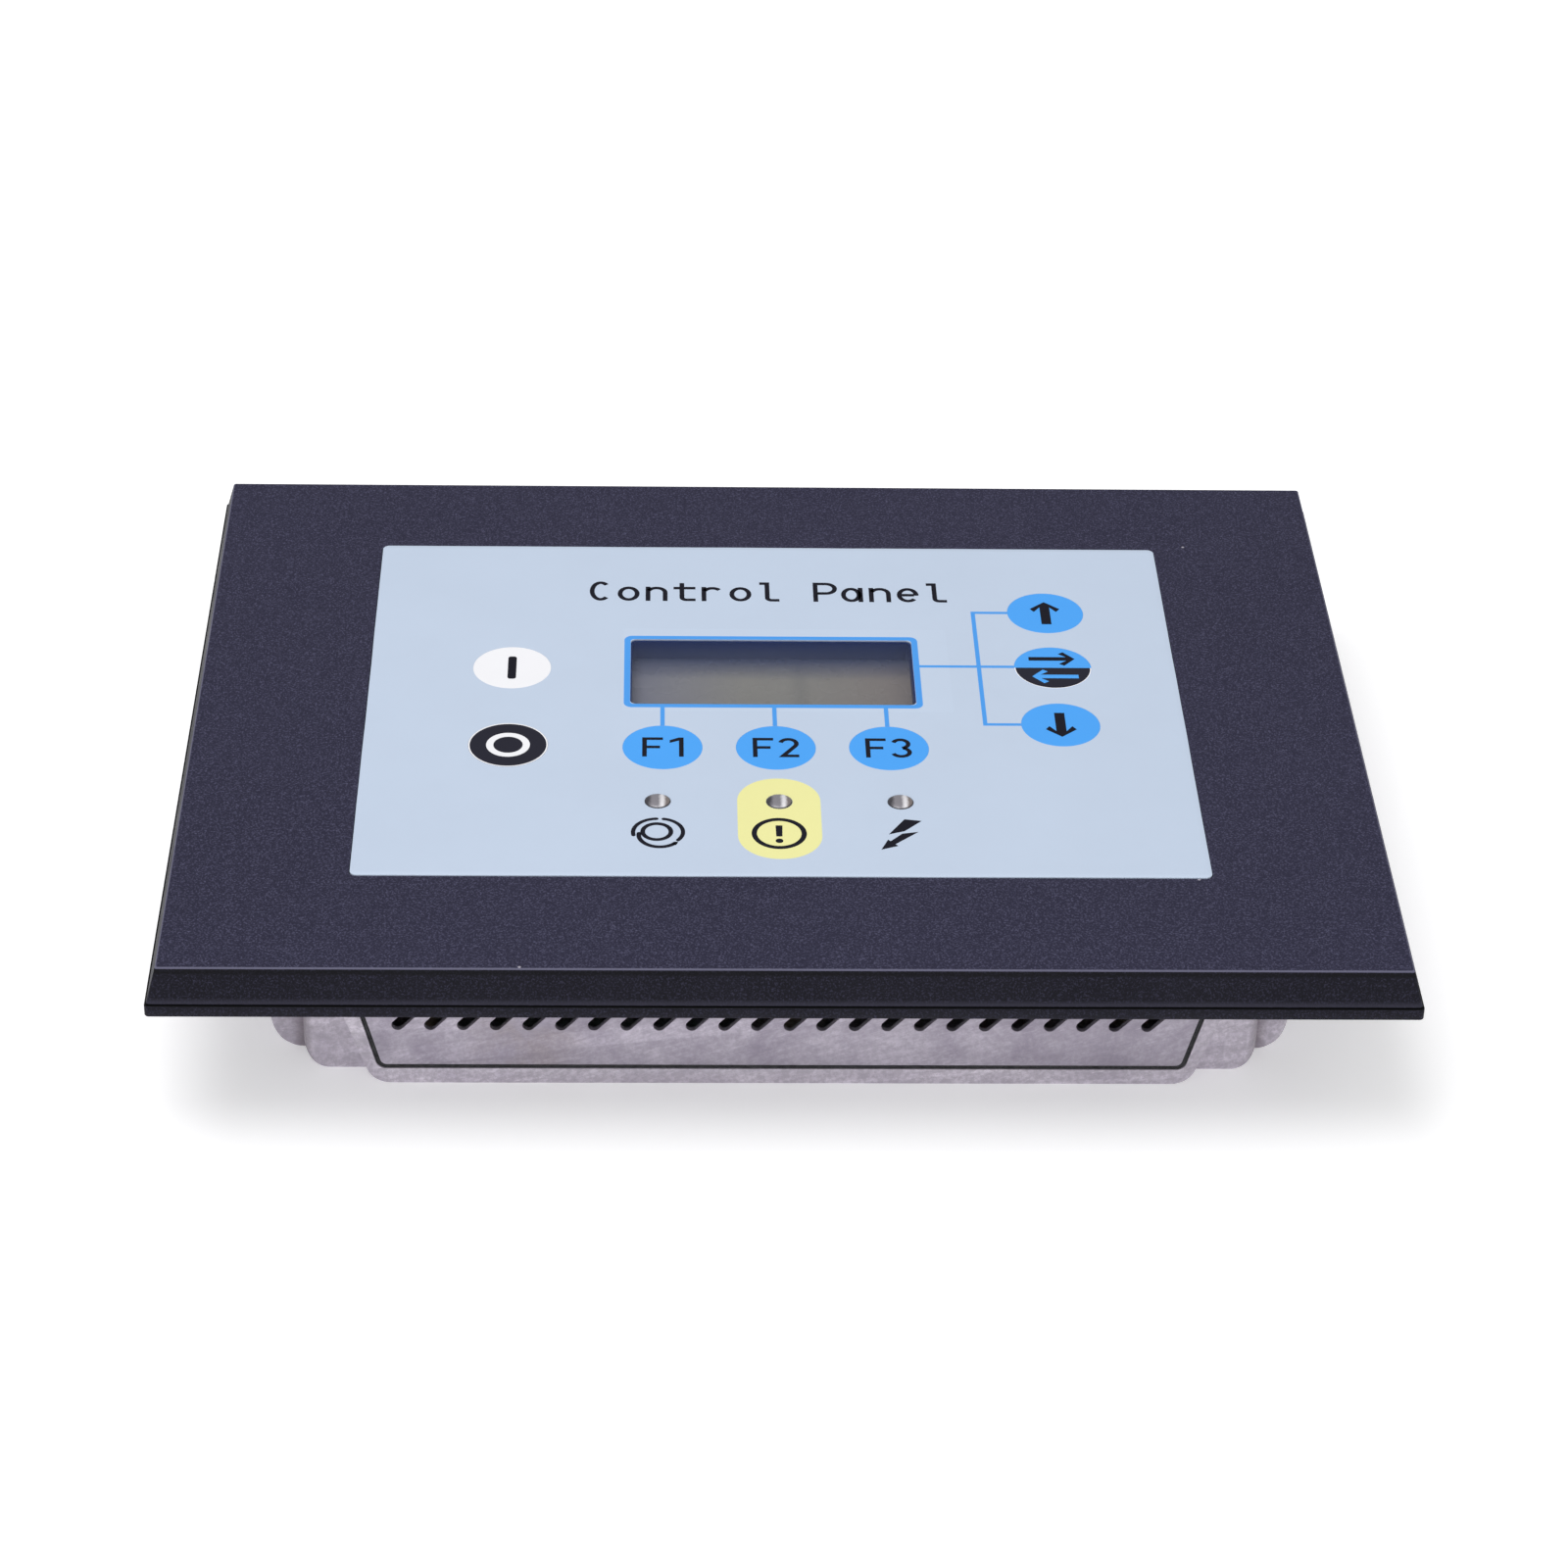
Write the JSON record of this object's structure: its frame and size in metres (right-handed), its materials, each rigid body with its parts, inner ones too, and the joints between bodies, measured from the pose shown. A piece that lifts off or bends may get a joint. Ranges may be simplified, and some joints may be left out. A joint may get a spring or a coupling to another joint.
{
  "type": "hmi panel",
  "caption": "Panel-mount operator unit with a membrane keypad, display window, indicator lamps and slotted die-cast housing.",
  "frame": {"origin": "centre of the housing's flat back, on the surface it rests on", "axes": "+Z out of the front face, +X to the label's right, +Y to the label's top"},
  "size_m": [0.3, 0.235, 0.0478],
  "materials": {
    "bezel_black": "black fine-grain texture",
    "label_film": "satin printed polyester film",
    "window_clear": "clear satin window",
    "key_white": "satin printed film",
    "key_black": "satin printed film",
    "key_blue": "satin printed film",
    "spacer_film": "adhesive film",
    "circuit_film": "copper-coloured flexible circuit",
    "socket_cream": "moulded",
    "lamp_lens": "clear domed lens",
    "board_green": "solder mask",
    "ribbon_grey": "flat ribbon",
    "seal_rubber": "closed-cell foam",
    "display_frame": "dark painted",
    "display_glass": "grey-green display",
    "light_guide": "white light guide",
    "screw_steel": "bright zinc plated",
    "chip_black": "moulded epoxy",
    "relay_case": "moulded",
    "capacitor_case": "sleeved",
    "standoff_brass": "turned",
    "cast_aluminium": "die cast, lightly worn",
    "plate_aluminium": "rolled sheet, lightly worn",
    "header_green": "moulded",
    "comms_steel": "tinned",
    "pin_brass": "tinned brass",
    "frame_steel": "zinc plated",
    "dome_steel": "polished",
    "blank_label": "blank silver film",
    "socket_black": "moulded"
  },
  "bodies": {
    "panel": {"front_bezel": "bezel_black", "keypad_overlay": "label_film", "display_window": "window_clear", "keypad_spacer": "spacer_film", "keypad_circuit": "circuit_film", "keypad_tail": "circuit_film", "keypad_socket": "socket_cream", "led_auto": "lamp_lens", "led_alarm": "lamp_lens", "led_power": "lamp_lens", "led_board": "board_green", "led_ribbon": "ribbon_grey", "display_gasket": "seal_rubber", "lcd_frame": "display_frame", "lcd_glass": "display_glass", "lcd_backlight": "light_guide", "lcd_board": "board_green", "display_ribbon": "ribbon_grey", "ribbon_sockets": "socket_black", "display_screws": "screw_steel", "main_board": "board_green", "processor_chips": "chip_black", "relays": "relay_case", "capacitors": "capacitor_case", "buffer_battery": "screw_steel", "board_standoffs": "standoff_brass", "board_screws": "screw_steel", "rear_screws": "screw_steel", "rear_housing": "cast_aluminium", "vent_plate_front": "plate_aluminium", "vent_plate_back": "plate_aluminium", "input_header": "header_green", "output_header": "header_green", "sensor_header": "header_green", "comms_socket": "comms_steel", "header_pins": "pin_brass", "mounting_frame": "frame_steel", "frame_screws": "screw_steel", "mounting_studs": "screw_steel", "panel_gasket": "seal_rubber", "rating_label": "blank_label", "dome_start": "dome_steel", "dome_stop": "dome_steel", "dome_f1": "dome_steel", "dome_f2": "dome_steel", "dome_f3": "dome_steel", "dome_up": "dome_steel", "dome_tab": "dome_steel", "dome_down": "dome_steel"},
    "start_key": {"key_start": "key_white"},
    "stop_key": {"key_stop": "key_black"},
    "f1_key": {"key_f1": "key_blue"},
    "f2_key": {"key_f2": "key_blue"},
    "f3_key": {"key_f3": "key_blue"},
    "up_key": {"key_up": "key_blue"},
    "tab_key": {"key_tab": "key_blue"},
    "down_key": {"key_down": "key_blue"}
  },
  "joints": [
    {"name": "press_start", "type": "slide", "parent": "panel", "child": "start_key", "axis": [0, 0, -1], "range_m": [0, 0.0004], "stiffness_N_per_m": 2500, "deforming": ["dome_start"]},
    {"name": "press_stop", "type": "slide", "parent": "panel", "child": "stop_key", "axis": [0, 0, -1], "range_m": [0, 0.0004], "stiffness_N_per_m": 2500, "deforming": ["dome_stop"]},
    {"name": "press_f1", "type": "slide", "parent": "panel", "child": "f1_key", "axis": [0, 0, -1], "range_m": [0, 0.0004], "stiffness_N_per_m": 2500, "deforming": ["dome_f1"]},
    {"name": "press_f2", "type": "slide", "parent": "panel", "child": "f2_key", "axis": [0, 0, -1], "range_m": [0, 0.0004], "stiffness_N_per_m": 2500, "deforming": ["dome_f2"]},
    {"name": "press_f3", "type": "slide", "parent": "panel", "child": "f3_key", "axis": [0, 0, -1], "range_m": [0, 0.0004], "stiffness_N_per_m": 2500, "deforming": ["dome_f3"]},
    {"name": "press_up", "type": "slide", "parent": "panel", "child": "up_key", "axis": [0, 0, -1], "range_m": [0, 0.0004], "stiffness_N_per_m": 2500, "deforming": ["dome_up"]},
    {"name": "press_tab", "type": "slide", "parent": "panel", "child": "tab_key", "axis": [0, 0, -1], "range_m": [0, 0.0004], "stiffness_N_per_m": 2500, "deforming": ["dome_tab"]},
    {"name": "press_down", "type": "slide", "parent": "panel", "child": "down_key", "axis": [0, 0, -1], "range_m": [0, 0.0004], "stiffness_N_per_m": 2500, "deforming": ["dome_down"]}
  ]
}
